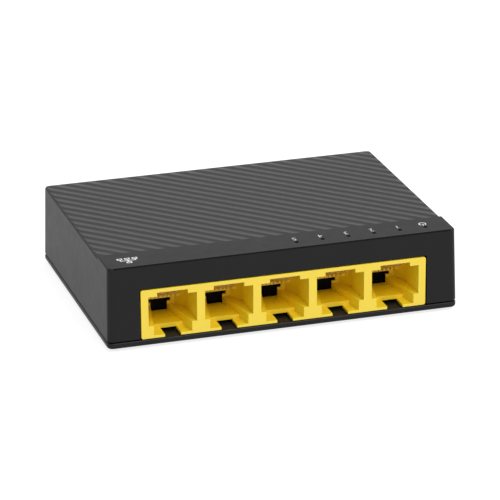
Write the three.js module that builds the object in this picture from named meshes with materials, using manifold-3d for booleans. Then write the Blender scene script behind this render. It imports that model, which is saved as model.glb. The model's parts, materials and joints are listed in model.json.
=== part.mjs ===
// A five-port desktop network switch: a two-part black plastic case around one circuit board, with a
// yellow five-gang socket block on the port side. Millimetres, +Z up. The origin is on the surface the
// feet stand on, under the middle of the case. Looking at the ports, +X is to the right and -Y is
// towards the viewer. Port 1 is the right-hand one.
import * as THREE from "three";
import { mergeVertices } from "three/addons/utils/BufferGeometryUtils.js";
import Module from "manifold-3d";

const wasm = await Module();
wasm.setup();

// ---- Driving dimensions -------------------------------------------------------------------------

const CASE = { width: 88, depth: 64, height: 20.2, draft: 0.5, cornerR: 1.5, wall: 1.8 };
const FOOT = { height: 0.8, r: 4, recess: 0.6, gap: 0.2, x: 37.5, frontY: -25.5, backY: 17.5 };
const LABEL = { halfX: 20, halfY: 11, y: 2, recess: 0.25, gap: 0.3, thick: 0.12 };
const CASE_Z = FOOT.height; // underside of the case
const TOP_Z = CASE_Z + CASE.height; // smooth strip along the port side, the highest face
const PARTING = { base: CASE_Z + 1.45, cover: CASE_Z + 1.7, bevel: 0.2 };
const CEILING_Z = TOP_Z - 2;
const TOP_BEVEL = 0.3;
const FLOOR_Z = CASE_Z + 1.3; // inside floor of the base
const BASE_WALL = 1.6;
const LIP = { gap: 0.3, thick: 1, height: 2.6 };

// The top: a plain strip on the port side, then a lower field of diagonal ribs.
const STRIP_DEPTH = 9.5;
const FIELD = { drop: 0.65, border: 0.5 };
const RIB = { pitch: 3, height: 0.22, ramp: 1.6 };
// One rib's profile in shares of the pitch and the height: a short steep face towards the port side,
// then a long gentle one.
const RIB_PROFILE = [
  [0, 0],
  [0.08, 0.1],
  [0.3, 0.9],
  [0.38, 1],
  [0.48, 0.93],
  [0.9, 0.07],
];

// Between the corners the port face ends in a narrow ledge under the strip.
const FACE_LEDGE = { inset: 1.3, drop: 0.3, depth: 0.35 };

// Sockets, measured from the front and the underside of the block.
const PORTS = 5;
const PORT_PITCH = 13.97;
const BLOCK = { frontY: -CASE.depth / 2 + 0.25, endWall: 0.8, bottom: CASE_Z + 1.65, top: CASE_Z + 14 };
const BLOCK_HALF = (PORTS * PORT_PITCH) / 2 + BLOCK.endWall;
const BLOCK_CORNER_R = 0.5;
const CAVITY = { half: 5.985, depth: 12.6, bottom: CASE_Z + 4.78, top: CASE_Z + 12.1 };
const CHEEK = { depth: 8.6, rearHalf: 4 }; // the side walls close in behind this depth
const RECESS = { tab: 2.2, tabDepth: 1.2, half: 4.6, top: CASE_Z + 13.1 };
const LATCH = { frontHalf: 4.75, rearHalf: 2.1, floor: CASE_Z + 3.2 };
const WING = { top: CASE_Z + 2.3, gapHalf: 2, depth: 4.5 };
const PLATE_BOTTOM = CASE_Z + 2.1; // underside of the latch space's floor
const REAR_WALL = 0.5;
const HOOD_DEPTH = 18;
// The opening in the rear wall; its upper part, above the rails, is wider.
const WINDOW = { half: 2.1, top: CASE_Z + 6.4, upperHalf: 2.95, upperBottom: CASE_Z + 5.5 };
const COMB = { depth: 1.7, bottom: CASE_Z + 7.15, top: CASE_Z + 11.9, slot: 0.62, half: 4.9 };

// Eight contact wires a port.
const WIRE = { count: 8, pitch: 1.016, width: 0.4, thick: 0.3 };
const ARM = { rootDepth: 2.8, rootZ: CASE_Z + 12.2, tipDepth: 11, tipZ: CASE_Z + 7.9 };
const TAIL = { z: CASE_Z + 12.9, frontDepth: 3.2 };
const ROOT_BAR = { depth: 0.8, height: 0.6, half: 4.1 };
const TERMINAL = { half: 5, front: CAVITY.depth + REAR_WALL + 0.25, back: 17.7, footHalf: 3, foot: 0.4 };
const LEG = { width: 0.4, hole: 0.76, length: 0.8, insets: [2.6, 0.8] }; // alternate legs stand in two rows

// Circuit board.
const BOARD = { halfX: 40.4, frontDepth: 14, backY: 28.5, bottom: CASE_Z + 3.4, thick: 1.6 };
const BOARD_TOP = BOARD.bottom + BOARD.thick;
const BOARD_FRONT_Y = BLOCK.frontY + BOARD.frontDepth;
const SOLDER_GAP = 0.1;
const ON_BOARD = BOARD_TOP + SOLDER_GAP;

// Fastenings. Two long screws hold the case together at the back, two short ones hold the board.
const CASE_SCREW = { x: 36.5, y: 25.3, r: 1.1, headR: 2.2, headH: 1.4, length: 10, clear: 0.35 };
const BOARD_SCREWS = [
  { x: -37.6, y: -12 },
  { x: 37.6, y: -6.2 },
];
const BOARD_SCREW = { r: 1.0, headR: 2.0, headH: 1.2, length: 2.9, clear: 0.35 };
const SCREW_SEAT_Z = CASE_Z + 2.5;
const POST_R = 2.9;
const BOSS = { caseR: POST_R + 0.5, boardR: 2.5, gap: 0.05 };
const SUPPORT = { x: 14, y: 12, r: 1.8 };
const HOOK = { x: 38.7, width: 3, thick: 1, height: 6, frontGap: 1.2, barb: 0.7 };
const LEDGE = { depth: 0.8, thick: 0.7, top: FLOOR_Z + HOOK.height - 1.3 };

// Indicator lamps, port 1 nearest the power lamp.
const LED = { x: 30.4, pitch: 6.55, powerX: 36.95, y: -12.45, holeY: -CASE.depth / 2 + 4.2, holeR: 0.55 };
const GUIDE = { half: 0.75, bottom: BLOCK.top + 0.3, top: BLOCK.top + 1.8, tipR: 0.4, tipTop: TOP_Z - 1 };

// Power socket in the right-hand wall.
const JACK = { y: 4, z: ON_BOARD + 6.4, halfY: 4.5, back: 28.5, front: 41.5, height: 11 };
const JACK_BORE = { r: 3.15, pinR: 1.05, depth: 10, noseR: 3.9, nose: 1.4, holeR: 4.3 };

// ---- Solids from three.js geometry --------------------------------------------------------------

/** A closed three.js geometry as a solid that can be cut and joined. */
function solid(geometry) {
  const bare = geometry.index ? geometry.toNonIndexed() : geometry.clone();
  bare.deleteAttribute("normal");
  bare.deleteAttribute("uv");
  const merged = mergeVertices(bare, 1e-4);
  return new wasm.Manifold(
    new wasm.Mesh({
      numProp: 3,
      vertProperties: merged.attributes.position.array,
      triVerts: new Uint32Array(merged.index.array),
    }),
  );
}

/** A solid as a flat-shaded three.js geometry. */
function geometryOf(shape) {
  const { vertProperties, triVerts } = shape.getMesh();
  const indexed = new THREE.BufferGeometry()
    .setAttribute("position", new THREE.BufferAttribute(vertProperties, 3))
    .setIndex(new THREE.BufferAttribute(triVerts, 1));
  const flat = indexed.toNonIndexed();
  flat.computeVertexNormals();
  return flat;
}

/** An axis-aligned block between two corners. */
function box(x0, x1, y0, y1, z0, z1) {
  const size = new THREE.BoxGeometry(x1 - x0, y1 - y0, z1 - z0);
  return solid(size.translate((x0 + x1) / 2, (y0 + y1) / 2, (z0 + z1) / 2));
}

/** A round bar standing on z0. */
function rod(x, y, z0, z1, r, sides = 24, topR = r) {
  const bar = new THREE.CylinderGeometry(topR, r, z1 - z0, sides);
  return solid(bar.rotateX(Math.PI / 2).translate(x, y, (z0 + z1) / 2));
}

/** A round bar along X. */
function rodAlongX(x0, x1, y, z, r, sides = 28) {
  const bar = new THREE.CylinderGeometry(r, r, x1 - x0, sides);
  return solid(bar.rotateZ(-Math.PI / 2).translate((x0 + x1) / 2, y, z));
}

function outline(points) {
  return new THREE.Shape(points.map(([u, v]) => new THREE.Vector2(u, v)));
}

/** An outline in X and Y, raised from z0 to z1. */
function prism(points, z0, z1) {
  const block = new THREE.ExtrudeGeometry(outline(points), { depth: z1 - z0, bevelEnabled: false });
  return solid(block.translate(0, 0, z0));
}

/** An outline in Y and Z, drawn out from x0 to x1. */
function prismAlongX(points, x0, x1) {
  const block = new THREE.ExtrudeGeometry(outline(points), { depth: x1 - x0, bevelEnabled: false });
  const turn = new THREE.Matrix4().makeBasis(
    new THREE.Vector3(0, 1, 0),
    new THREE.Vector3(0, 0, 1),
    new THREE.Vector3(1, 0, 0),
  );
  return solid(block.applyMatrix4(turn).translate(x0, 0, 0));
}

function union(shapes) {
  return shapes.reduce((sum, shape) => sum.add(shape));
}

/** The same shape on the left and on the right. */
function bothSides(make) {
  return union([-1, 1].map(make));
}

const CORNER_STEPS = 5;

/** Points round a rectangle with rounded corners, anticlockwise from above. */
function roundedRectangle(halfX, halfY, r) {
  const points = [];
  [[1, 1], [-1, 1], [-1, -1], [1, -1]].forEach(([sx, sy], corner) => {
    for (let i = 0; i <= CORNER_STEPS; i++) {
      const turn = ((corner + i / CORNER_STEPS) * Math.PI) / 2;
      points.push([
        sx * (halfX - r) + r * Math.cos(turn),
        sy * (halfY - r) + r * Math.sin(turn),
      ]);
    }
  });
  return points;
}

/** A closed skin through rounded rectangles stacked upwards. */
function stack(levels) {
  const rings = levels.map(({ halfX, halfY, r }) => roundedRectangle(halfX, halfY, r));
  const count = rings[0].length;
  const position = levels.flatMap(({ z }, i) => rings[i].flatMap(([x, y]) => [x, y, z]));
  const index = [];
  for (let ring = 0; ring + 1 < levels.length; ring++) {
    for (let i = 0; i < count; i++) {
      const a = ring * count + i;
      const b = ring * count + ((i + 1) % count);
      index.push(a, b, b + count, a, b + count, a + count);
    }
  }
  const last = (levels.length - 1) * count;
  for (let i = 1; i + 1 < count; i++) {
    index.push(0, i + 1, i, last, last + i, last + i + 1);
  }
  const skin = new THREE.BufferGeometry()
    .setAttribute("position", new THREE.Float32BufferAttribute(position, 3))
    .setIndex(index);
  return solid(skin);
}

/** Half sizes of the leaning outer wall at a height, pulled in by an inset. */
function wallAt(z, inset = 0) {
  const lean = (CASE.draft * (z - CASE_Z)) / CASE.height + inset;
  return {
    z,
    halfX: CASE.width / 2 - lean,
    halfY: CASE.depth / 2 - lean,
    r: Math.max(CASE.cornerR - inset, 0.3),
  };
}

// ---- Materials ----------------------------------------------------------------------------------

function material(color, roughness, metalness = 0) {
  return new THREE.MeshStandardMaterial({ color, roughness, metalness });
}

const blackPlastic = material(0x2c2b2c, 0.6);
const insertPlastic = material(0x101011, 0.5);
const yellowPlastic = material(0xf2c81e, 0.45);
const boardGreen = material(0x1d4a2c, 0.5);
const chipBlack = material(0x17181a, 0.55);
const gold = material(0xc9a24b, 0.3, 1);
const steel = material(0xb8babd, 0.35, 1);
const tin = material(0xc4c6c8, 0.4, 1);
const rubber = material(0x1b1b1c, 0.9);
const clearPlastic = material(0xd8dde0, 0.2);
const lampWhite = material(0xe8e4c8, 0.4);
const labelPaper = material(0xe9e9e6, 0.7);
const brownCeramic = material(0x9a7a55, 0.6);

// ---- The model ----------------------------------------------------------------------------------

const part = new THREE.Group();

/** Adds one named piece, made in place or moved to where it sits. */
function add(name, shape, look, [x, y, z] = [0, 0, 0]) {
  const mesh = new THREE.Mesh(shape.isBufferGeometry ? shape : geometryOf(shape), look);
  mesh.name = name;
  mesh.position.set(x, y, z);
  part.add(mesh);
}

const portX = (port) => ((PORTS + 1) / 2 - port) * PORT_PITCH;
const lampX = (port) => LED.x - (port - 1) * LED.pitch;
const PORT_NUMBERS = Array.from({ length: PORTS }, (_, i) => i + 1);
const wireOffsets = Array.from(
  { length: WIRE.count },
  (_, i) => (i - (WIRE.count - 1) / 2) * WIRE.pitch,
);
const LAMP_XS = [LED.powerX, ...PORT_NUMBERS.map(lampX)];

/** Diagonal ribs: a row of profiles, drawn out along the diagonal and trimmed to the field. */
function ribs(field) {
  const count = Math.ceil(CASE.width / RIB.pitch);
  const reach = count * RIB.pitch;
  const points = [[-reach, -1]];
  for (let i = -count; i < count; i++) {
    points.push(...RIB_PROFILE.map(([u, v]) => [(i + u) * RIB.pitch, v * RIB.height]));
  }
  points.push([reach, -1]);
  const sheet = new THREE.ExtrudeGeometry(outline(points), { depth: 2 * reach, bevelEnabled: false });
  // The profile stands up; the crests run from the back left to the port side on the right.
  sheet.translate(0, 0, -reach).rotateX(Math.PI / 2).rotateZ(Math.PI / 4).translate(0, 0, field.z);
  const { x0, x1, y0, y1, z } = field;
  const peak = z + RIB.height;
  const trim = prismAlongX(
    [
      [y0, z - 0.3],
      [y1, z - 0.3],
      [y1, z + 0.02],
      [y1 - RIB.ramp, peak + 0.02],
      [y0 + RIB.ramp, peak + 0.02],
      [y0, z + 0.02],
    ],
    x0,
    x1,
  );
  return solid(sheet).intersect(trim);
}

function topCover() {
  const bottom = PARTING.cover;
  const outer = stack([
    wallAt(bottom, PARTING.bevel),
    wallAt(bottom + PARTING.bevel),
    wallAt(TOP_Z - TOP_BEVEL),
    wallAt(TOP_Z, TOP_BEVEL),
  ]);
  const inner = stack([
    { ...wallAt(bottom - 1, CASE.wall), r: 0.6 },
    { ...wallAt(CEILING_Z, CASE.wall), r: 0.6 },
  ]);

  // The rib field is lower than the strip and open at the sides and the back.
  const stripEnd = -CASE.depth / 2 + CASE.draft + STRIP_DEPTH;
  const fieldZ = TOP_Z - FIELD.drop;
  const fieldWall = wallAt(fieldZ, FIELD.border);
  const step = box(-CASE.width, CASE.width, stripEnd, CASE.depth, fieldZ, TOP_Z + 1);
  const field = { x0: -fieldWall.halfX, x1: fieldWall.halfX, y0: stripEnd, y1: fieldWall.halfY, z: fieldZ };
  const rim = stack([
    wallAt(fieldZ - TOP_BEVEL),
    wallAt(fieldZ, TOP_BEVEL),
    wallAt(TOP_Z + 1, TOP_BEVEL),
  ]);
  const rimWaste = box(-CASE.width, CASE.width, stripEnd, CASE.depth, fieldZ - TOP_BEVEL, TOP_Z);

  const face = wallAt(TOP_Z).halfY;
  const ledgeX = wallAt(TOP_Z).halfX - FACE_LEDGE.inset;
  const ledgeZ = TOP_Z - FACE_LEDGE.drop;
  const ledge = box(-ledgeX, ledgeX, -CASE.depth, -face + FACE_LEDGE.depth, ledgeZ, TOP_Z + 1);

  const notchHalf = BLOCK_HALF + 0.3;
  const notch = box(-notchHalf, notchHalf, -CASE.depth, -CASE.depth / 2 + 6, 0, BLOCK.top + 0.3);
  const pinholes = union(LAMP_XS.map((x) => rod(x, LED.holeY, CEILING_Z - 1, TOP_Z + 1, LED.holeR, 16)));
  const jackHole = rodAlongX(JACK.front - 2, CASE.width / 2 + 1, JACK.y, JACK.z, JACK_BORE.holeR, 36);

  const posts = bothSides((side) =>
    rod(side * CASE_SCREW.x, CASE_SCREW.y, BOARD_TOP + 0.2, CEILING_Z + 0.5, POST_R),
  );
  const postHoles = bothSides((side) =>
    rod(side * CASE_SCREW.x, CASE_SCREW.y, 0, CEILING_Z - 1.5, CASE_SCREW.r + CASE_SCREW.clear, 16),
  );
  const inside = -CASE.depth / 2 + CASE.wall;
  const ledges = bothSides((side) =>
    box(
      side * HOOK.x - HOOK.width / 2,
      side * HOOK.x + HOOK.width / 2,
      inside - 0.1,
      inside + LEDGE.depth,
      LEDGE.top - LEDGE.thick,
      LEDGE.top,
    ),
  );
  return outer
    .subtract(inner)
    .subtract(step)
    .subtract(rimWaste.subtract(rim))
    .add(ribs(field))
    .add(posts)
    .add(ledges)
    .subtract(union([ledge, notch, pinholes, jackHole, postHoles]));
}

function bottomCover() {
  const round = [
    [0, 0.6],
    [0.08, 0.3],
    [0.28, 0.1],
    [0.6, 0],
  ];
  const shell = stack([
    ...round.map(([up, inset]) => wallAt(CASE_Z + up, inset)),
    wallAt(PARTING.base - PARTING.bevel),
    wallAt(PARTING.base, PARTING.bevel),
  ]);
  const tray = wallAt(FLOOR_Z, BASE_WALL);
  const hollow = stack([
    { ...tray, r: 0.5 },
    { ...tray, z: PARTING.base + 1, r: 0.5 },
  ]);
  // A thin lip stands inside the cover's walls, behind the socket block.
  const ring = { ...wallAt(FLOOR_Z, CASE.wall + LIP.gap), r: 0.6 };
  const inner = { halfX: ring.halfX - LIP.thick, halfY: ring.halfY - LIP.thick, r: 0.4 };
  const lipTop = FLOOR_Z + LIP.height;
  const beside = JACK.halfY + 1.5;
  const lip = stack([
    { ...ring, z: FLOOR_Z - 0.2 },
    { ...ring, z: lipTop },
  ])
    .subtract(
      stack([
        { ...inner, z: FLOOR_Z - 1 },
        { ...inner, z: lipTop + 1 },
      ]),
    )
    .subtract(box(-CASE.width, CASE.width, -CASE.depth, BLOCK.frontY + HOOD_DEPTH + 1, 0, TOP_Z))
    .subtract(box(0, CASE.width, JACK.y - beside, JACK.y + beside, 0, TOP_Z));

  const boss = (x, y, r, sides) => rod(x, y, FLOOR_Z - 0.2, BOARD.bottom - BOSS.gap, r, sides);
  const caseBosses = bothSides((side) => boss(side * CASE_SCREW.x, CASE_SCREW.y, BOSS.caseR));
  const boardBosses = union(BOARD_SCREWS.map(({ x, y }) => boss(x, y, BOSS.boardR)));
  const supports = bothSides((side) => boss(side * SUPPORT.x, SUPPORT.y, SUPPORT.r, 16));
  const hooks = bothSides((side) => {
    const front = -CASE.depth / 2 + CASE.wall + HOOK.frontGap;
    const x0 = side * HOOK.x - HOOK.width / 2;
    const post = box(x0, x0 + HOOK.width, front, front + HOOK.thick, FLOOR_Z - 0.2, FLOOR_Z + HOOK.height);
    const barbFoot = FLOOR_Z + HOOK.height - 1;
    const barb = prismAlongX(
      [
        [front - HOOK.barb, barbFoot],
        [front + 0.2, barbFoot],
        [front + 0.2, barbFoot + 1],
      ],
      x0,
      x0 + HOOK.width,
    );
    return post.add(barb);
  });

  const screwHoles = bothSides((side) =>
    rod(side * CASE_SCREW.x, CASE_SCREW.y, 0, SCREW_SEAT_Z, CASE_SCREW.headR + 0.4).add(
      rod(side * CASE_SCREW.x, CASE_SCREW.y, 0, TOP_Z, CASE_SCREW.r + CASE_SCREW.clear, 16),
    ),
  );
  const boardHoles = union(
    BOARD_SCREWS.map(({ x, y }) =>
      rod(x, y, FLOOR_Z + 0.1, TOP_Z, BOARD_SCREW.r + BOARD_SCREW.clear, 16),
    ),
  );
  const footRecesses = bothSides((side) =>
    union(
      [FOOT.frontY, FOOT.backY].map((y) =>
        rod(side * FOOT.x, y, 0, CASE_Z + FOOT.recess, FOOT.r + FOOT.gap, 28),
      ),
    ),
  );
  const labelX = LABEL.halfX + LABEL.gap;
  const labelY = LABEL.halfY + LABEL.gap;
  const label = box(-labelX, labelX, LABEL.y - labelY, LABEL.y + labelY, 0, CASE_Z + LABEL.recess);
  return shell
    .subtract(hollow)
    .add(lip)
    .add(union([caseBosses, boardBosses, supports, hooks]))
    .subtract(union([screwHoles, boardHoles, footRecesses, label]));
}

/** What one socket takes out of the block. */
function socketCut(x) {
  const front = BLOCK.frontY;
  const deep = (depth) => front + depth;
  const open = front - 1;
  const rear = deep(CAVITY.depth);
  const tabHalf = CAVITY.half - RECESS.tab;
  const cheek = deep(CHEEK.depth);
  const cavity = prism(
    [
      [x - CAVITY.half, open],
      [x + CAVITY.half, open],
      [x + CAVITY.half, cheek],
      [x + CHEEK.rearHalf, rear],
      [x - CHEEK.rearHalf, rear],
      [x - CAVITY.half, cheek],
    ],
    CAVITY.bottom,
    CAVITY.top,
  );
  const recess = union([
    box(x - tabHalf, x + tabHalf, open, deep(RECESS.tabDepth) + 0.1, CAVITY.top - 0.1, RECESS.top),
    box(x - RECESS.half, x + RECESS.half, deep(RECESS.tabDepth), rear, CAVITY.top - 0.1, RECESS.top),
  ]);
  // The latch runs between two rails that close in towards the back.
  const closing = (LATCH.frontHalf - LATCH.rearHalf) / CAVITY.depth;
  const latchHalf = (depth) => LATCH.frontHalf - closing * depth;
  const latchSlot = (d0, d1, z0) =>
    prism(
      [
        [x - latchHalf(d0), deep(d0)],
        [x + latchHalf(d0), deep(d0)],
        [x + latchHalf(d1), deep(d1)],
        [x - latchHalf(d1), deep(d1)],
      ],
      z0,
      CAVITY.bottom + 0.1,
    );
  const wingEnd = deep(WING.depth);
  const gap = box(x - WING.gapHalf, x + WING.gapHalf, open, wingEnd, 0, WING.top + 0.1);
  const undercut = box(x - 4, x + 4, wingEnd, rear + 2, 0, PLATE_BOTTOM);
  const behind = deep(CAVITY.depth + REAR_WALL);
  const windowBox = (half, z0, z1) => box(x - half, x + half, rear - 0.1, behind + 0.1, z0, z1);
  const window = windowBox(WINDOW.half, LATCH.floor, WINDOW.top).add(
    windowBox(WINDOW.upperHalf, WINDOW.upperBottom, WINDOW.top),
  );
  const wireSlot = box(x - COMB.half, x + COMB.half, rear - 0.1, behind + 0.1, COMB.top, RECESS.top);
  const pocketHalf = TERMINAL.half + 0.25;
  const pocket = box(x - pocketHalf, x + pocketHalf, behind, deep(HOOD_DEPTH + 1), 0, RECESS.top);
  return union([
    cavity,
    recess,
    latchSlot(-1, WING.depth, WING.top),
    latchSlot(WING.depth - 0.01, CAVITY.depth, LATCH.floor),
    gap,
    undercut,
    window,
    wireSlot,
    pocket,
  ]);
}

/** Teeth that keep the free ends of the contacts apart. */
function comb(x) {
  const rear = BLOCK.frontY + CAVITY.depth;
  const bar = box(x - COMB.half, x + COMB.half, rear - COMB.depth, rear + 0.1, COMB.bottom, COMB.top);
  const slots = wireOffsets.map((offset) => {
    const half = COMB.slot / 2;
    const middle = x + offset;
    return box(middle - half, middle + half, rear - COMB.depth - 1, rear, 0, TOP_Z);
  });
  return bar.subtract(union(slots));
}

function portHousing() {
  const front = BLOCK.frontY;
  const hoodStart = front + CAVITY.depth + REAR_WALL;
  const face = roundedRectangle(BLOCK_HALF, (BLOCK.top - BLOCK.bottom) / 2, BLOCK_CORNER_R);
  const mouth = prism(face, -hoodStart, -front)
    .rotate([90, 0, 0])
    .translate([0, 0, (BLOCK.top + BLOCK.bottom) / 2]);
  const hood = box(-BLOCK_HALF, BLOCK_HALF, hoodStart - 0.1, front + HOOD_DEPTH, ON_BOARD, BLOCK.top);
  const xs = PORT_NUMBERS.map(portX);
  return mouth
    .add(hood)
    .subtract(union(xs.map(socketCut)))
    .add(union(xs.map(comb)));
}

/** The black insert behind a socket, with the fixed ends of its eight wires moulded in. */
function terminalBlock() {
  const deep = (depth) => BLOCK.frontY + depth;
  const { half, front, back, footHalf, foot } = TERMINAL;
  const body = box(-half, half, deep(front), deep(back), ON_BOARD, RECESS.top - 0.2);
  const nose = box(-footHalf, footHalf, deep(front), deep(front + foot), BOARD.bottom - 0.1, ON_BOARD + 0.1);
  const wires = wireOffsets.flatMap((x, i) => {
    const x0 = x - WIRE.width / 2;
    const x1 = x + WIRE.width / 2;
    const legY = deep(back - LEG.insets[i % 2]);
    const legHalf = LEG.width / 2;
    return [
      box(x0, x1, deep(TAIL.frontDepth), deep(front + 0.5), TAIL.z - WIRE.thick / 2, TAIL.z + WIRE.thick / 2),
      box(x0, x1, legY - legHalf, legY + legHalf, BOARD.bottom - LEG.length, ON_BOARD + 0.1),
    ];
  });
  return body.add(nose).add(union(wires));
}

/** Eight free arms that hang into a socket from the bend at their front. */
function contactSprings() {
  const { rootDepth, rootZ, tipDepth, tipZ } = ARM;
  const dy = tipDepth - rootDepth;
  const dz = tipZ - rootZ;
  const length = Math.hypot(dy, dz);
  const up = [(-dz / length) * (WIRE.thick / 2), (dy / length) * (WIRE.thick / 2)];
  const arms = wireOffsets.map((x) =>
    prismAlongX(
      [
        [-up[0], -up[1]],
        [dy - up[0], dz - up[1]],
        [dy + up[0], dz + up[1]],
        [up[0], up[1]],
      ],
      x - WIRE.width / 2,
      x + WIRE.width / 2,
    ),
  );
  const { depth, height, half } = ROOT_BAR;
  return union([box(-half, half, -depth / 2, depth / 2, -height / 2, height / 2), ...arms]);
}

function circuitBoard() {
  const board = box(-BOARD.halfX, BOARD.halfX, BOARD_FRONT_Y, BOARD.backY, BOARD.bottom, BOARD_TOP);
  const holes = [
    ...[-1, 1].map((side) => [side * CASE_SCREW.x, CASE_SCREW.y, CASE_SCREW.r + CASE_SCREW.clear]),
    ...BOARD_SCREWS.map(({ x, y }) => [x, y, BOARD_SCREW.r + BOARD_SCREW.clear]),
  ].map(([x, y, r]) => rod(x, y, 0, TOP_Z, r, 20));
  const legs = PORT_NUMBERS.flatMap((port) =>
    wireOffsets.map((offset, i) => {
      const y = BLOCK.frontY + TERMINAL.back - LEG.insets[i % 2];
      const x = portX(port) + offset;
      const half = LEG.hole / 2;
      return box(x - half, x + half, y - half, y + half, 0, TOP_Z);
    }),
  );
  return board.subtract(union([...holes, ...legs]));
}

/** A moulded chip with bent leads along two or four of its sides, standing on z = 0. */
function leadedChip({ halfX, halfY, height, leadsX, leadsY, pitch, lead }) {
  const body = box(-halfX, halfX, -halfY, halfY, 0.15, height);
  const leads = [];
  const row = (count) => Array.from({ length: count }, (_, i) => (i - (count - 1) / 2) * pitch);
  const half = pitch * 0.22;
  for (const side of [-1, 1]) {
    for (const x of row(leadsX)) {
      const ys = [side * (halfY - 0.1), side * (halfY + lead)].sort((a, b) => a - b);
      leads.push(box(x - half, x + half, ...ys, 0, 0.5));
    }
    for (const y of row(leadsY)) {
      const xs = [side * (halfX - 0.1), side * (halfX + lead)].sort((a, b) => a - b);
      leads.push(box(...xs, y - half, y + half, 0, 0.5));
    }
  }
  return body.add(union(leads));
}

/** A screw with its head down, its point up, standing on z = 0. */
function screw({ r, headR, headH, length }) {
  const head = rod(0, 0, 0, headH, headR * 0.82, 16, headR);
  const shank = rod(0, 0, headH - 0.1, headH + length - 1, r, 12);
  const point = rod(0, 0, headH + length - 1, headH + length, r, 12, r * 0.4);
  const slots = union([
    box(-0.3, 0.3, -headR * 0.5, headR * 0.5, -1, 0.7),
    box(-headR * 0.5, headR * 0.5, -0.3, 0.3, -1, 0.7),
  ]);
  return head.add(shank).add(point).subtract(slots);
}

function lightGuide() {
  const { half, bottom, top, tipR, tipTop } = GUIDE;
  const arms = LAMP_XS.flatMap((x) => [
    box(x - half, x + half, LED.y - half, LED.y + half, ON_BOARD + 1.1, top),
    box(x - half, x + half, LED.holeY - half, LED.y + half, bottom, top),
    box(x - half, x + half, LED.holeY - half, LED.holeY + half, top - 0.1, CEILING_Z - 0.3),
    rod(x, LED.holeY, CEILING_Z - 0.4, tipTop, tipR, 12),
  ]);
  const bar = box(lampX(PORTS), LED.powerX, LED.y - half, LED.y + half, bottom, top);
  return union([bar, ...arms]);
}

function jackHousing() {
  const { y, z, halfY, back, front, height } = JACK;
  const block = box(back, front, y - halfY, y + halfY, ON_BOARD, ON_BOARD + height);
  const nose = rodAlongX(front - 0.1, front + JACK_BORE.nose, y, z, JACK_BORE.noseR);
  const end = front + JACK_BORE.nose;
  const bore = rodAlongX(end - JACK_BORE.depth, end + 1, y, z, JACK_BORE.r);
  const leafSlot = box(end - JACK_BORE.depth, front - 0.6, y - 1.3, y + 1.3, z - JACK_BORE.r - 1, z);
  return block.add(nose).subtract(bore).subtract(leafSlot);
}

function jackContact() {
  const foot = JACK.z - JACK_BORE.r - 0.7;
  const x0 = JACK.front + JACK_BORE.nose - JACK_BORE.depth + 0.3;
  const x1 = JACK.front - 1;
  const leaf = prismAlongX([[-1, 0], [1, 0], [1, 0.35], [-1, 0.35]], x0, x1);
  const dimple = rodAlongX(x1 - 3.2, x1 - 1.6, 0, 0.35, 0.5, 12);
  return leaf.add(dimple).translate([0, JACK.y, foot]);
}

// ---- Case, sockets and what is fastened to them --------------------------------------------------

add("top_cover", topCover(), blackPlastic);
add("bottom_cover", bottomCover(), blackPlastic);
add("port_housing", portHousing(), yellowPlastic);

const terminal = geometryOf(terminalBlock());
const springs = geometryOf(contactSprings());
const springY = BLOCK.frontY + ARM.rootDepth;
for (const port of PORT_NUMBERS) {
  add(`terminal_block_${port}`, terminal, insertPlastic, [portX(port), 0, 0]);
  add(`contact_springs_${port}`, springs, gold, [portX(port), springY, ARM.rootZ]);
}

add("circuit_board", circuitBoard(), boardGreen);
add("light_guide", lightGuide(), clearPlastic);

const lamp = geometryOf(union([box(-0.8, 0.8, -0.4, 0.4, 0, 0.4), box(-0.55, 0.55, -0.4, 0.4, 0.3, 0.8)]));
add("led_power", lamp, lampWhite, [LED.powerX, LED.y, ON_BOARD]);
for (const port of PORT_NUMBERS) {
  add(`led_port_${port}`, lamp, lampWhite, [lampX(port), LED.y, ON_BOARD]);
}

add("dc_jack_housing", jackHousing(), insertPlastic);
const pinStart = JACK.front + JACK_BORE.nose - JACK_BORE.depth + 0.1;
const pinEnd = JACK.front + JACK_BORE.nose - 0.6;
add("dc_jack_pin", rodAlongX(pinStart, pinEnd, JACK.y, JACK.z, JACK_BORE.pinR, 16), tin);
add("dc_jack_contact", jackContact(), tin);

// ---- Parts on the board --------------------------------------------------------------------------

const switchChip = leadedChip({
  halfX: 7, halfY: 7, height: 1.5, leadsX: 10, leadsY: 10, pitch: 1.27, lead: 0.9,
});
add("switch_chip", switchChip, chipBlack, [-2, 10, ON_BOARD]);

const transformer = geometryOf(
  leadedChip({ halfX: 6.3, halfY: 3.6, height: 5.6, leadsX: 6, leadsY: 0, pitch: 1.78, lead: 1.2 }),
);
for (const port of PORT_NUMBERS) {
  add(`transformer_${port}`, transformer, chipBlack, [portX(port), -5.6, ON_BOARD]);
}

const can = stack([
  { halfX: 5.6, halfY: 2.3, r: 2.2, z: 0 },
  { halfX: 5.6, halfY: 2.3, r: 2.2, z: 0.4 },
  { halfX: 5.1, halfY: 1.9, r: 1.8, z: 0.5 },
  { halfX: 5.1, halfY: 1.9, r: 1.8, z: 3.3 },
  { halfX: 4.8, halfY: 1.6, r: 1.5, z: 3.6 },
]);
add("crystal", can, steel, [-20, 8, ON_BOARD]);

const drum = union([
  stack([
    { halfX: 3, halfY: 3, r: 0.8, z: 0 },
    { halfX: 3, halfY: 3, r: 0.8, z: 0.6 },
  ]),
  rod(0, 0, 0.5, 3.6, 2.1, 28),
  rod(0, 0, 3.5, 4.3, 2.9, 28),
]);
add("power_inductor", drum, material(0x3a3a3d, 0.5), [20, 17, ON_BOARD]);

const capacitor = geometryOf(
  union([
    box(-3.3, 3.3, -3.3, 3.3, 0, 0.8),
    rod(0, 0, 0.7, 5.4, 3.15, 28),
    rod(0, 0, 5.3, 5.7, 3.15, 28, 2.85),
  ]),
);
[20, 28].forEach((x, i) => add(`capacitor_${i + 1}`, capacitor, tin, [x, 24.6, ON_BOARD]));

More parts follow.
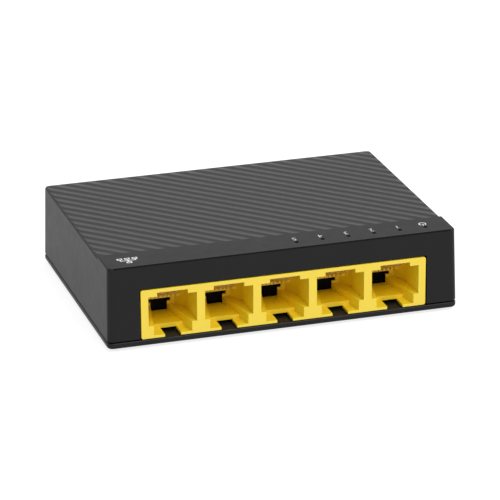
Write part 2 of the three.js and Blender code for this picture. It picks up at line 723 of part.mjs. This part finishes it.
const regulator = leadedChip({
  halfX: 1.9, halfY: 2.5, height: 1.6, leadsX: 0, leadsY: 4, pitch: 1.27, lead: 1,
});
add("voltage_regulator", regulator, chipBlack, [29, 17, ON_BOARD]);

const smallPart = geometryOf(
  union([
    box(-0.9, 0.9, -0.6, 0.6, 0.04, 0.7),
    ...[-1, 0.6].map((x) => box(x, x + 0.4, -0.64, 0.64, 0, 0.74)),
  ]),
);
const smallPlaces = [[-13, 4], [-13, 7], [-13, 10], [-13, 13], [9.5, 4], [9.5, 7], [9.5, 13], [9.5, 16]];
smallPlaces.forEach(([x, y], i) => add(`chip_capacitor_${i + 1}`, smallPart, brownCeramic, [x, y, ON_BOARD]));

// ---- Screws, feet and label ----------------------------------------------------------------------

const caseScrew = geometryOf(screw(CASE_SCREW));
const caseScrewZ = SCREW_SEAT_Z - 0.1 - CASE_SCREW.headH;
[-1, 1].forEach((side, i) =>
  add(`case_screw_${i + 1}`, caseScrew, steel, [side * CASE_SCREW.x, CASE_SCREW.y, caseScrewZ]),
);

// The board's screws go in from above, so they are turned over.
const boardScrew = geometryOf(screw(BOARD_SCREW).rotate([180, 0, 0]));
BOARD_SCREWS.forEach(({ x, y }, i) =>
  add(`board_screw_${i + 1}`, boardScrew, steel, [x, y, BOARD_TOP + 0.1 + BOARD_SCREW.headH]),
);

const foot = geometryOf(
  rod(0, 0, 0, 0.4, FOOT.r - 0.4, 24, FOOT.r).add(
    rod(0, 0, 0.35, FOOT.height + FOOT.recess - 0.05, FOOT.r, 24),
  ),
);
[FOOT.frontY, FOOT.backY].forEach((y, row) =>
  [-1, 1].forEach((side, i) => add(`foot_${2 * row + i + 1}`, foot, rubber, [side * FOOT.x, y, 0])),
);

const labelTop = CASE_Z + LABEL.recess - 0.03;
const label = stack([
  { halfX: LABEL.halfX, halfY: LABEL.halfY, r: 1, z: labelTop - LABEL.thick },
  { halfX: LABEL.halfX, halfY: LABEL.halfY, r: 1, z: labelTop },
]);
add("rating_label", label.translate([0, LABEL.y, 0]), labelPaper);

export default part;
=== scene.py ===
import json
import math

import bmesh
import bpy
from mathutils import Matrix, Vector


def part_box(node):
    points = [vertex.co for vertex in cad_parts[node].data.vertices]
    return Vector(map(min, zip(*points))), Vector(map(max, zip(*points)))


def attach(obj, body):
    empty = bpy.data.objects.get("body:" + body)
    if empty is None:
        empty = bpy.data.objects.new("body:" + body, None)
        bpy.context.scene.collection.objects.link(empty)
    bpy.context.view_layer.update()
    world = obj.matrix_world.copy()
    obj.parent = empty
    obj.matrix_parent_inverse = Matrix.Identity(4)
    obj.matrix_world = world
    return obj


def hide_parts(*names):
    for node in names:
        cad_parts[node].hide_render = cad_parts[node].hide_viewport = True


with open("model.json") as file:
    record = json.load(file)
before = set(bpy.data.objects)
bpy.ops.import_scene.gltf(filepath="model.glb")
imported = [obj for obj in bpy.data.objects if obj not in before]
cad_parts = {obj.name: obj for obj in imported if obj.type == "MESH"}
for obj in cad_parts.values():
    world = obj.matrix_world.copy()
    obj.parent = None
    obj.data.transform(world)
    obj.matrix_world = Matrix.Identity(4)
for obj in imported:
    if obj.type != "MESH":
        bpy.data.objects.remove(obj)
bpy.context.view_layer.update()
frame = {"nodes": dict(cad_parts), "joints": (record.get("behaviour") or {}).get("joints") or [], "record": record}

MM = 0.001
BODY = "case"
PORTS = [1, 2, 3, 4, 5]


# ---- Places taken from the frame ----------------------------------------------------------------

def middle(node):
    low, high = (Vector(corner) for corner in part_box(node))
    return (low + high) / 2


STRIP_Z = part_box("top_cover")[1][2]
STRIP_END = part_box("top_cover")[0][1] + 10 * MM  # where the strip steps down to the ribs
FIELD_Z = STRIP_Z - 0.7 * MM  # the ribs, behind the strip, all lie above this
HOLE_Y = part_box("light_guide")[0][1] + 0.75 * MM  # the row of pinholes
LAMP_X = {port: middle(f"led_port_{port}").x for port in PORTS}
POWER_X = middle("led_power").x
PORT_X = {port: middle(f"contact_springs_{port}").x for port in PORTS}
TAIL_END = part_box("terminal_block_1")[0][1] + 9.8 * MM  # the wires' fixed ends are bare in front of this
HINGE = {joint["child"]: Vector(joint["pos_m"]) for joint in frame["joints"]}


# ---- Camera -------------------------------------------------------------------------------------

# Angles in degrees, lengths in mm.
CAMERA = {"azimuth": -17.144, "elevation": 21.012, "roll": -0.393, "distance": 767.94, "lens": 221.8}
SENSOR_WIDTH = 36
AIM = Vector((1.809, 2.417, 8.2)) * MM
NEAREST, FARTHEST = 0.05, 20  # the range that the camera sees, in metres


def make_camera():
    azimuth, elevation = math.radians(CAMERA["azimuth"]), math.radians(CAMERA["elevation"])
    right = Vector((math.cos(azimuth), math.sin(azimuth), 0))
    back = Vector((
        math.sin(azimuth) * math.cos(elevation),
        -math.cos(azimuth) * math.cos(elevation),
        math.sin(elevation),
    ))
    facing = Matrix((right, back.cross(right), back)).transposed()
    turned = facing @ Matrix.Rotation(math.radians(CAMERA["roll"]), 3, "Z")
    data = bpy.data.cameras.new("camera")
    data.lens = CAMERA["lens"]
    data.sensor_width = SENSOR_WIDTH
    data.clip_start, data.clip_end = NEAREST, FARTHEST
    camera = bpy.data.objects.new("camera", data)
    camera.location = AIM + back * CAMERA["distance"] * MM
    camera.rotation_euler = turned.to_euler()
    bpy.context.scene.collection.objects.link(camera)
    bpy.context.scene.camera = camera


# ---- Studio -------------------------------------------------------------------------------------

# Each light's name, its place and size in metres, and its power in watts.
LIGHTS = [
    ("overhead", (0.25, -0.33, 0.82), (0.5, 0.3), 3.5),
    ("front_top", (0.1, -0.75, 0.75), (0.5, 0.4), 3.2),
]
LIGHT_TARGET = Vector((0, 0, 0.01))
SKY_STRENGTH = 1.0
FLOOR_SIZE = 8


def area_light(name, place, size, power):
    data = bpy.data.lights.new(name, "AREA")
    data.shape = "RECTANGLE"
    data.size, data.size_y = size
    data.energy = power
    lamp = bpy.data.objects.new(name, data)
    lamp.location = place
    lamp.rotation_euler = (LIGHT_TARGET - Vector(place)).to_track_quat("-Z", "Y").to_euler()
    bpy.context.scene.collection.objects.link(lamp)


def make_studio():
    world = bpy.data.worlds.new("studio")
    world.use_nodes = True
    background = world.node_tree.nodes["Background"]
    background.inputs["Color"].default_value = (1, 1, 1, 1)
    background.inputs["Strength"].default_value = SKY_STRENGTH
    bpy.context.scene.world = world
    bpy.context.scene.view_settings.view_transform = "Standard"

    for light in LIGHTS:
        area_light(*light)

    bpy.ops.mesh.primitive_plane_add(size=FLOOR_SIZE, location=(0, 0, 0))
    floor = bpy.context.object
    floor.name = "studio_floor"
    floor.data.materials.append(floor_material())


# ---- Materials ----------------------------------------------------------------------------------

# The grain of each kind of unevenness, in mm.
BROAD_GRAIN = 9
GLOSS_GRAIN = 2.5
METAL_GRAIN = 3
DRAWING_GRAIN = 0.4

NOISE_ROUGHNESS = 0.5
NOISE_LOW, NOISE_HIGH = 0.3, 0.7  # nearly all of the noise lies between these
METAL_GLOSS = (-0.06, 0.08)  # how far a metal's roughness strays from its middle
RELIEF = 0.03 * MM
SOFT_RADIUS = (1.0, 0.6, 0.2)
SOFT_SCALE = 0.6 * MM

FLOOR_TONE = 0.27
FLOOR_ROUGHNESS = 0.9
FLOOR_SPECULAR = 0.1
FLOOR_GLOW = 0.8

# Painted sheen: the ribs' base colour is paler than the strip's, standing in for the light their slopes reflect.
RIB_PAINTED_SHEEN = (0.024, 0.0235, 0.024)
RIB_ROUGHNESS_CHANGE = -0.07
# Painted light: the sockets' front face gets a paler, duller yellow than the brighter insides, as if lit
# differently.
FACE_PAINTED_LIGHT = (0.628, 0.466, 0.0135)
PAINTED_LIGHT_FADE = (0.15 * MM, 6 * MM)  # the painted light fades out between these depths behind the face


def new_material(name):
    material = bpy.data.materials.new(name)
    material.use_nodes = True
    nodes, links = material.node_tree.nodes, material.node_tree.links
    shader = nodes["Principled BSDF"]
    return material, nodes, links, shader


def noise(nodes, links, coordinate, grain, detail=2.0):
    """Noise whose features are about one grain (in mm) across."""
    texture = nodes.new("ShaderNodeTexNoise")
    texture.inputs["Scale"].default_value = 1 / (grain * MM)
    texture.inputs["Detail"].default_value = detail
    texture.inputs["Roughness"].default_value = NOISE_ROUGHNESS
    links.new(coordinate, texture.inputs["Vector"])
    return texture.outputs["Fac"]


def remap(nodes, links, value, low, high):
    """Spreads noise over the range from low to high."""
    ramp = nodes.new("ShaderNodeMapRange")
    ramp.inputs["From Min"].default_value = NOISE_LOW
    ramp.inputs["From Max"].default_value = NOISE_HIGH
    ramp.inputs["To Min"].default_value = low
    ramp.inputs["To Max"].default_value = high
    links.new(value, ramp.inputs["Value"])
    return ramp.outputs["Result"]


def mottle(nodes, links, shader, place, color, shade, grain):
    """Gives the shader a base colour that changes faintly between two."""
    mix = nodes.new("ShaderNodeMix")
    mix.data_type = "RGBA"
    mix.inputs["A"].default_value = (*color, 1)
    mix.inputs["B"].default_value = (*shade, 1)
    links.new(remap(nodes, links, noise(nodes, links, place, grain), 0, 1), mix.inputs["Factor"])
    links.new(mix.outputs["Result"], shader.inputs["Base Color"])


def moulded(
    name, color, shade, roughness, grain, bump,
    specular=0.5, soften=0.0, transmission=0.0, unevenness=0.04,
):
    """A moulded or cast surface: fine grain in the relief, broad faint changes of shade and gloss."""
    material, nodes, links, shader = new_material(name)
    place = nodes.new("ShaderNodeTexCoord").outputs["Object"]
    mottle(nodes, links, shader, place, color, shade, BROAD_GRAIN)

    gloss = noise(nodes, links, place, GLOSS_GRAIN, detail=4)
    low, high = roughness - unevenness, roughness + unevenness
    links.new(remap(nodes, links, gloss, low, high), shader.inputs["Roughness"])

    fine = noise(nodes, links, place, grain, detail=3)
    relief = nodes.new("ShaderNodeBump")
    relief.inputs["Strength"].default_value = bump
    relief.inputs["Distance"].default_value = RELIEF
    links.new(fine, relief.inputs["Height"])
    links.new(relief.outputs["Normal"], shader.inputs["Normal"])
    shader.inputs["Specular IOR Level"].default_value = specular
    if soften:
        shader.inputs["Subsurface Weight"].default_value = soften
        shader.inputs["Subsurface Radius"].default_value = SOFT_RADIUS
        shader.inputs["Subsurface Scale"].default_value = SOFT_SCALE
    if transmission:
        shader.inputs["Transmission Weight"].default_value = transmission
    return material


def metal(name, color, shade, roughness):
    """Plated or drawn metal, slightly mottled in colour and in gloss."""
    material, nodes, links, shader = new_material(name)
    place = nodes.new("ShaderNodeTexCoord").outputs["Object"]
    mottle(nodes, links, shader, place, color, shade, METAL_GRAIN)
    marks = noise(nodes, links, place, DRAWING_GRAIN, detail=4)
    low, high = (roughness + change for change in METAL_GLOSS)
    links.new(remap(nodes, links, marks, low, high), shader.inputs["Roughness"])
    shader.inputs["Metallic"].default_value = 1
    return material


def floor_material():
    material, _, _, shader = new_material("studio_paper")
    shader.inputs["Base Color"].default_value = (FLOOR_TONE, FLOOR_TONE, FLOOR_TONE, 1)
    shader.inputs["Roughness"].default_value = FLOOR_ROUGHNESS
    shader.inputs["Specular IOR Level"].default_value = FLOOR_SPECULAR
    shader.inputs["Emission Color"].default_value = (1, 1, 1, 1)
    shader.inputs["Emission Strength"].default_value = FLOOR_GLOW
    return material


def math_node(nodes, links, operation, *values):
    """A sum, product or test of numbers and of other nodes' outputs."""
    node = nodes.new("ShaderNodeMath")
    node.operation = operation
    for socket, value in zip(node.inputs, values):
        if isinstance(value, float):
            socket.default_value = value
        else:
            links.new(value, socket)
    return node.outputs["Value"]


def tint(material, mask, color):
    """Mixes a colour over the base colour, fully where the mask is 1."""
    nodes, links = material.node_tree.nodes, material.node_tree.links
    base = nodes["Principled BSDF"].inputs["Base Color"]
    mix = nodes.new("ShaderNodeMix")
    mix.data_type = "RGBA"
    links.new(mask, mix.inputs["Factor"])
    links.new(base.links[0].from_socket, mix.inputs["A"])
    mix.inputs["B"].default_value = (*color, 1)
    links.new(mix.outputs["Result"], base)


def place_of(material):
    """The material's nodes and links, and a new node that gives X, Y and Z in the object."""
    nodes, links = material.node_tree.nodes, material.node_tree.links
    place = nodes.new("ShaderNodeSeparateXYZ")
    links.new(nodes.new("ShaderNodeTexCoord").outputs["Object"], place.inputs["Vector"])
    return nodes, links, place


def finish_ribs(material):
    """The ribbed field is a little glossier than the strip, and painted paler: a painted sheen that stands in for
    the light its slopes reflect.
    """
    nodes, links, place = place_of(material)
    behind = math_node(nodes, links, "GREATER_THAN", place.outputs["Y"], STRIP_END)
    raised = math_node(nodes, links, "GREATER_THAN", place.outputs["Z"], FIELD_Z)
    on_ribs = math_node(nodes, links, "MULTIPLY", behind, raised)
    # painted sheen: a paler colour mixed over the ribs
    tint(material, on_ribs, RIB_PAINTED_SHEEN)
    roughness = nodes["Principled BSDF"].inputs["Roughness"]
    before = roughness.links[0].from_socket
    links.new(math_node(nodes, links, "MULTIPLY_ADD", on_ribs, RIB_ROUGHNESS_CHANGE, before), roughness)


def finish_block_face(material):
    """Painted light: the sockets' outer face is painted a paler, duller yellow than their insides, so that face
    and insides look differently lit.
    """
    nodes, links, place = place_of(material)
    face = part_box("port_housing")[0][1]
    fade = nodes.new("ShaderNodeMapRange")
    fade.inputs["From Min"].default_value = face + PAINTED_LIGHT_FADE[0]
    fade.inputs["From Max"].default_value = face + PAINTED_LIGHT_FADE[1]
    fade.inputs["To Min"].default_value = 1
    fade.inputs["To Max"].default_value = 0
    links.new(place.outputs["Y"], fade.inputs["Value"])
    # painted light: the face's colour mixed over the base yellow
    tint(material, fade.outputs["Result"], FACE_PAINTED_LIGHT)


def make_materials():
    # Two colours and the roughness. A moulded one adds the grain in mm and the strength of its relief.
    made = {
        "black_plastic": moulded(
            "black_plastic", (0.0062, 0.0058, 0.0062), (0.0052, 0.005, 0.0052), 0.46, 0.16, 0.12,
            specular=0.18, unevenness=0.02,
        ),
        "yellow_plastic": moulded(
            "yellow_plastic", (0.83, 0.56, 0.004), (0.81, 0.545, 0.004), 0.36, 0.5, 0.06,
            specular=0.8, soften=0.1,
        ),
        # Painted shade: the insert is darker and less glossy than the black plastic, so the window at the back of
        # each socket reads as deep shadow.
        "insert_plastic": moulded(
            "insert_plastic", (0.0015, 0.0015, 0.0015), (0.001, 0.001, 0.001), 0.5, 0.2, 0.2,
            specular=0.06,
        ),
        "contact_gold": metal("contact_gold", (0.97, 0.87, 0.5), (0.94, 0.83, 0.45), 0.42),
        "board_laminate": moulded(
            "board_laminate", (0.006, 0.042, 0.016), (0.005, 0.035, 0.013), 0.35, 0.6, 0.1,
        ),
        "clear_plastic": moulded(
            "clear_plastic", (0.82, 0.85, 0.86), (0.78, 0.82, 0.84), 0.12, 1.5, 0.05,
            transmission=0.85,
        ),
        "lamp_lens": moulded("lamp_lens", (0.8, 0.79, 0.66), (0.76, 0.75, 0.62), 0.25, 0.3, 0.05),
        "tinned_metal": metal("tinned_metal", (0.62, 0.63, 0.64), (0.56, 0.57, 0.58), 0.3),
        "chip_epoxy": moulded("chip_epoxy", (0.012, 0.012, 0.013), (0.009, 0.009, 0.01), 0.6, 0.12, 0.5),
        "steel": metal("steel", (0.56, 0.56, 0.57), (0.5, 0.5, 0.51), 0.32),
        "ferrite": moulded("ferrite", (0.05, 0.05, 0.053), (0.035, 0.035, 0.038), 0.7, 0.2, 0.6),
        "capacitor_can": metal("capacitor_can", (0.66, 0.67, 0.68), (0.6, 0.61, 0.62), 0.28),
        "ceramic_chip": moulded("ceramic_chip", (0.34, 0.22, 0.12), (0.3, 0.19, 0.1), 0.55, 0.1, 0.3),
        "rubber": moulded(
            "rubber", (0.014, 0.014, 0.015), (0.011, 0.011, 0.012), 0.85, 0.2, 0.5,
            specular=0.25,
        ),
        "label_paper": moulded("label_paper", (0.78, 0.78, 0.76), (0.74, 0.74, 0.72), 0.5, 0.3, 0.05),
        "print_white": moulded("print_white", (0.66, 0.66, 0.65), (0.6, 0.6, 0.59), 0.55, 0.15, 0.1),
    }
    # painted sheen on the ribs
    finish_ribs(made["black_plastic"])
    # painted light on the sockets' front face
    finish_block_face(made["yellow_plastic"])
    return made


# ---- CAD nodes: finish of the edges and materials -------------------------------------------------

# Radius asked for at a node's sharp edges, in mm. A node's shortest edge can hold it far below this.
EDGE_MM = {
    "top_cover": 0.1,
    "bottom_cover": 0.1,
    "port_housing": 0.14,
    "dc_jack_housing": 0.12,
    "circuit_board": 0.08,
    "light_guide": 0.12,
}
SMALL_EDGE_MM = 0.06
EDGE_SEGMENTS = 2
JOIN_DISTANCE = 0.001 * MM
SHARP_DEGREES = 32
FLAT_DEGREES = 0.5


def shade_by_angle(mesh, degrees=SHARP_DEGREES):
    mesh.shade_smooth()
    mesh.set_sharp_from_angle(angle=math.radians(degrees))


def round_edges(obj, radius):
    """Joins the CAD's faces, which share no vertices, and rounds the sharp edges between them."""
    joined = obj.modifiers.new("faces joined", "WELD")
    joined.merge_threshold = JOIN_DISTANCE
    flatten = obj.modifiers.new("one face a plane", "DECIMATE")
    flatten.decimate_type = "DISSOLVE"
    flatten.angle_limit = math.radians(FLAT_DEGREES)
    bevel = obj.modifiers.new("rounded edges", "BEVEL")
    bevel.width = radius
    bevel.segments = EDGE_SEGMENTS
    bevel.limit_method = "ANGLE"
    bevel.angle_limit = math.radians(SHARP_DEGREES)
    bevel.use_clamp_overlap = True
    normals = obj.modifiers.new("flat faces stay flat", "WEIGHTED_NORMAL")
    normals.keep_sharp = True


def finish_nodes(materials):
    slots = {row["node"]: row["material_slot"] for row in frame["record"]["subparts"]}
    for node, obj in frame["nodes"].items():
        obj.data.materials.clear()
        obj.data.materials.append(materials[slots[node]])
        if node.startswith("terminal_block"):
            obj.data.materials.append(materials["contact_gold"])
            for face in obj.data.polygons:
                face.material_index = int(face.center.y < TAIL_END)
        shade_by_angle(obj.data)
        round_edges(obj, EDGE_MM.get(node, SMALL_EDGE_MM) * MM)


# ---- New pieces -----------------------------------------------------------------------------------

def piece(name, mesh, material, body=BODY):
    obj = bpy.data.objects.new(name, mesh)
    bpy.context.scene.collection.objects.link(obj)
    mesh.materials.append(material)
    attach(obj, body)
    return obj


def mesh_from(bm, name):
    bmesh.ops.recalc_face_normals(bm, faces=bm.faces)
    mesh = bpy.data.meshes.new(name)
    bm.to_mesh(mesh)
    bm.free()
    return mesh


def add_plate(bm, outline, z, thick):
    """A thin plate whose outline lies at height z."""
    lower = [bm.verts.new((x, y, z)) for x, y in outline]
    upper = [bm.verts.new((x, y, z + thick)) for x, y in outline]
    bm.faces.new(lower[::-1])
    bm.faces.new(upper)
    for i, vert in enumerate(lower):
        j = (i + 1) % len(lower)
        bm.faces.new((vert, lower[j], upper[j], upper[i]))


def arc(centre, radius, start, end, steps):
    turns = [math.radians(start + (end - start) * i / steps) for i in range(steps + 1)]
    return [(centre[0] + radius * math.cos(t), centre[1] + radius * math.sin(t)) for t in turns]


def rectangle(x, y, half_x, half_y):
    corners = ((-1, -1), (1, -1), (1, 1), (-1, 1))
    return [(x + sx * half_x, y + sy * half_y) for sx, sy in corners]


# ---- Printed marks on the strip -------------------------------------------------------------------

INK = 0.02 * MM
DIGIT_HEIGHT = 1.75 * MM
DIGIT_SHARE = 0.7  # a digit's height as a share of the text size
STROKE_THINNING = 0.045 * MM
CURVE_STEPS = 4
MARK_BEHIND = 2.1 * MM  # from the pinholes to the middle of the digits and the power sign

RING_OUTER, RING_INNER = 0.95 * MM, 0.7 * MM
RING_SPAN = (-55, 235)  # degrees, turned round with the digits, so its opening faces the sockets
RING_STEPS = 28
STROKE_OFFSET = 0.65 * MM
STROKE_HALF = (0.13 * MM, 0.5 * MM)
SAME_POINT = 1e-7

NETWORK_INSET = 6.6 * MM  # from the cover's left side
NETWORK_BEHIND = 0.75 * MM  # from the pinholes
BOX_HALF = (0.66 * MM, 0.5 * MM)
LINE = 0.12 * MM  # half the width of a line
SPREAD, RISE = 1.85 * MM, 1.15 * MM
# Lines that cross others are a little thicker, so that their upper faces don't coincide.
UPRIGHT_INK, BUS_INK = INK * 1.1, INK * 1.2


def print_digits(white):
    """Port numbers behind their lamps, to be read from the side away from the sockets."""
    for port in PORTS:
        text = bpy.data.curves.new(f"digit_{port}", "FONT")
        text.body = str(port)
        text.align_x, text.align_y = "CENTER", "CENTER"
        text.size = DIGIT_HEIGHT / DIGIT_SHARE
        text.offset = -STROKE_THINNING
        text.extrude = INK / 2
        text.resolution_u = CURVE_STEPS
        letter = bpy.data.objects.new(f"digit_{port}", text)
        bpy.context.scene.collection.objects.link(letter)
        letter.location = (LAMP_X[port], HOLE_Y + MARK_BEHIND, STRIP_Z + INK / 2)
        letter.rotation_euler.z = math.pi
        text.materials.append(white)
        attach(letter, BODY)


def print_power_mark(white):
    """The plain power sign: a ring open at the top with an upright stroke."""
    bm = bmesh.new()
    centre = Vector((POWER_X, HOLE_Y + MARK_BEHIND))
    outer_points = arc(centre, RING_OUTER, *RING_SPAN, RING_STEPS)
    inner_points = arc(centre, RING_INNER, *RING_SPAN, RING_STEPS)
    for i in range(RING_STEPS):
        quad = [outer_points[i], outer_points[i + 1], inner_points[i + 1], inner_points[i]]
        add_plate(bm, quad, STRIP_Z, INK)
    add_plate(bm, rectangle(centre.x, centre.y - STROKE_OFFSET, *STROKE_HALF), STRIP_Z, INK)
    bmesh.ops.remove_doubles(bm, verts=bm.verts, dist=SAME_POINT)
    piece("power_mark", mesh_from(bm, "power_mark"), white)


def add_frame(bm, x, y):
    """A rectangle drawn as four bars."""
    half_x, half_y = BOX_HALF
    for side in (-1, 1):
        add_plate(bm, rectangle(x, y + side * (half_y - LINE), half_x, LINE), STRIP_Z, INK)
        add_plate(bm, rectangle(x + side * (half_x - LINE), y, LINE, half_y), STRIP_Z, UPRIGHT_INK)


def print_network_mark(white):
    """A generic network sign in the corner: one box linked to three."""
    bm = bmesh.new()
    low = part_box("top_cover")[0]
    x0, y0 = low[0] + NETWORK_INSET, HOLE_Y + NETWORK_BEHIND
    stem = (RISE - BOX_HALF[1]) / 2
    add_frame(bm, x0, y0 - RISE)
    add_plate(bm, rectangle(x0, y0 - stem, LINE, stem), STRIP_Z, INK)
    add_plate(bm, rectangle(x0, y0, SPREAD + LINE, LINE), STRIP_Z, BUS_INK)
    for x in (x0 - SPREAD, x0, x0 + SPREAD):
        add_frame(bm, x, y0 + RISE)
        add_plate(bm, rectangle(x, y0 + stem, LINE, stem), STRIP_Z, INK)
    piece("network_mark", mesh_from(bm, "network_mark"), white)


# ---- Contact wires --------------------------------------------------------------------------------

WIRES = 8
WIRE_PITCH = 1.016 * MM
WIRE_WIDTH = 0.4 * MM
WIRE_THICK = 0.28 * MM
WIRE_CORNER = 0.3  # the bevelled part of each half side of the wire's section
WIRE_SHARP_DEGREES = 40
PATH_STEPS = 6
# The bend at the front and the start of the slope, as steps back and up from the hinge, in mm.
BEND = [(0.35, 0.3), (-0.2, 0.18), (-0.25, -0.08), (0.5, -0.32)]
KNEE_SHARE, KNEE_DROP = 0.72, 0.25 * MM
TIP_SHORT = 0.1 * MM


def wire_xs(port):
    return [PORT_X[port] + (i - (WIRES - 1) / 2) * WIRE_PITCH for i in range(WIRES)]


def smooth_path(points):
    """A smooth curve in Y and Z through the given points."""
    ends = [points[0] * 2 - points[1], *points, points[-1] * 2 - points[-2]]
    path = []
    for p0, p1, p2, p3 in zip(ends, ends[1:], ends[2:], ends[3:]):
        for i in range(PATH_STEPS):
            t = i / PATH_STEPS
            path.append(0.5 * (
                2 * p1 + (p2 - p0) * t + (2 * p0 - 5 * p1 + 4 * p2 - p3) * t**2
                + (3 * p1 - p0 - 3 * p2 + p3) * t**3
            ))
    return [*path, points[-1]]


def add_wire(bm, x, path):
    """A flat wire with bevelled corners that follows a path in Y and Z."""
    half_x, half_z, straight = WIRE_WIDTH / 2, WIRE_THICK / 2, 1 - WIRE_CORNER
    section = []
    for sx, sz in ((1, 1), (-1, 1), (-1, -1), (1, -1)):
        turned = [(sx * half_x, sz * half_z * straight), (sx * half_x * straight, sz * half_z)]
        section += turned if sx * sz > 0 else turned[::-1]
    rings = []
    for i, point in enumerate(path):
        ahead = path[min(i + 1, len(path) - 1)] - path[max(i - 1, 0)]
        ahead.normalize()
        across = Vector((-ahead.y, ahead.x))
        ring = [bm.verts.new((x + u, *(point + across * v))) for u, v in section]
        rings.append(ring)
    for low, high in zip(rings, rings[1:]):
        for i in range(len(section)):
            j = (i + 1) % len(section)
            bm.faces.new((low[i], low[j], high[j], high[i]))
    bm.faces.new(rings[0][::-1])
    bm.faces.new(rings[-1])


def make_contacts(materials):
    """The free arms: each comes round the bend at the front, slopes back and down, and ends in the comb."""
    for port in PORTS:
        hinge = HINGE[f"port_{port}_contacts"]
        low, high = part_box(f"contact_springs_{port}")
        turn = Vector((hinge.y, hinge.z))
        tip = Vector((high[1] - TIP_SHORT, low[2] + WIRE_THICK / 2))
        knee = turn.lerp(tip, KNEE_SHARE) - Vector((0, KNEE_DROP))
        bend = [turn + Vector(step) * MM for step in BEND]
        path = smooth_path([*bend, knee, tip])
        bm = bmesh.new()
        for x in wire_xs(port):
            add_wire(bm, x, path)
        mesh = mesh_from(bm, f"contact_wires_{port}")
        shade_by_angle(mesh, WIRE_SHARP_DEGREES)
        body = f"port_{port}_contacts"
        obj = piece(f"contact_wires_{port}", mesh, materials["contact_gold"], body)
        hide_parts(f"contact_springs_{port}")


# ---- The whole ------------------------------------------------------------------------------------

make_camera()
materials = make_materials()
make_studio()
finish_nodes(materials)
print_digits(materials["print_white"])
print_power_mark(materials["print_white"])
print_network_mark(materials["print_white"])
make_contacts(materials)
